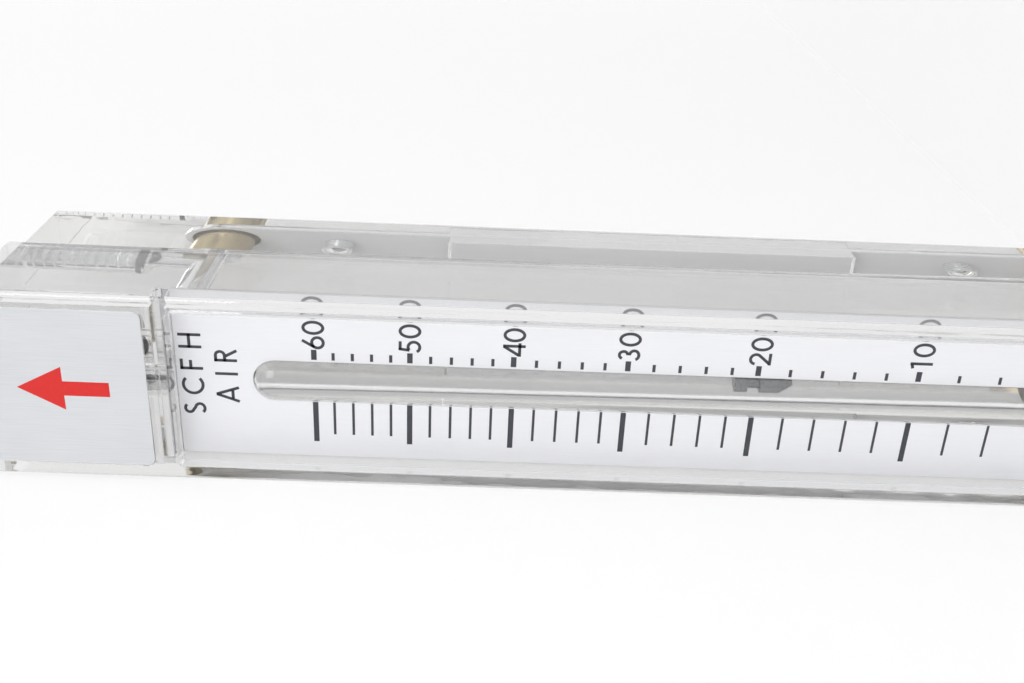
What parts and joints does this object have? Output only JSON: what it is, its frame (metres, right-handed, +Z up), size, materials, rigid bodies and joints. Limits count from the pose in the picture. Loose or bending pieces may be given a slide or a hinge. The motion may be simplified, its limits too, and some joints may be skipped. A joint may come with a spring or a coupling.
{
  "type": "rotameter",
  "caption": "Clear-bodied variable-area flow meter for panel mounting, with a slotted scale plate, a free float in a tapered bore, and rear pipe connections on a metal backbone.",
  "frame": {"origin": "middle of the bounding box on the bottom end, which the meter can stand on", "axes": "+Z up along the flow tube, -Y out of the dial towards the reader, +X to the reader's right"},
  "size_m": [0.0382, 0.0592, 0.26],
  "materials": {
    "clear_body": "moulded clear polycarbonate",
    "clear_bezel": "moulded clear polycarbonate",
    "clear_plug": "moulded clear polycarbonate",
    "scale_plate": "satin anodised",
    "nameplate": "brushed",
    "backbone": "matte",
    "turned_brass": "turned",
    "turned_steel": "turned",
    "float": "turned",
    "stop": "moulded",
    "o_ring": "moulded"
  },
  "bodies": {
    "meter": {"flow_body": "clear_body", "bezel": "clear_bezel", "scale_plate": "scale_plate", "top_nameplate": "nameplate", "bottom_nameplate": "nameplate", "backbone": "backbone", "top_pipe_connection": "turned_brass", "bottom_pipe_connection": "turned_brass", "top_mounting_insert": "turned_steel", "bottom_mounting_insert": "turned_steel", "top_connection_o_ring": "o_ring", "bottom_connection_o_ring": "o_ring", "top_port_plug": "clear_plug", "bottom_port_plug": "clear_plug", "top_port_o_ring": "o_ring", "bottom_port_o_ring": "o_ring", "tube_plug": "clear_plug", "tube_plug_o_ring": "o_ring", "upper_float_stop": "turned_steel", "lower_float_stop": "stop"},
    "float": {"float": "float"}
  },
  "joints": [
    {"name": "float_rise", "type": "slide", "parent": "meter", "child": "float", "axis": [0, 0, 1], "range_m": [-0.0447, 0.0905]}
  ]
}
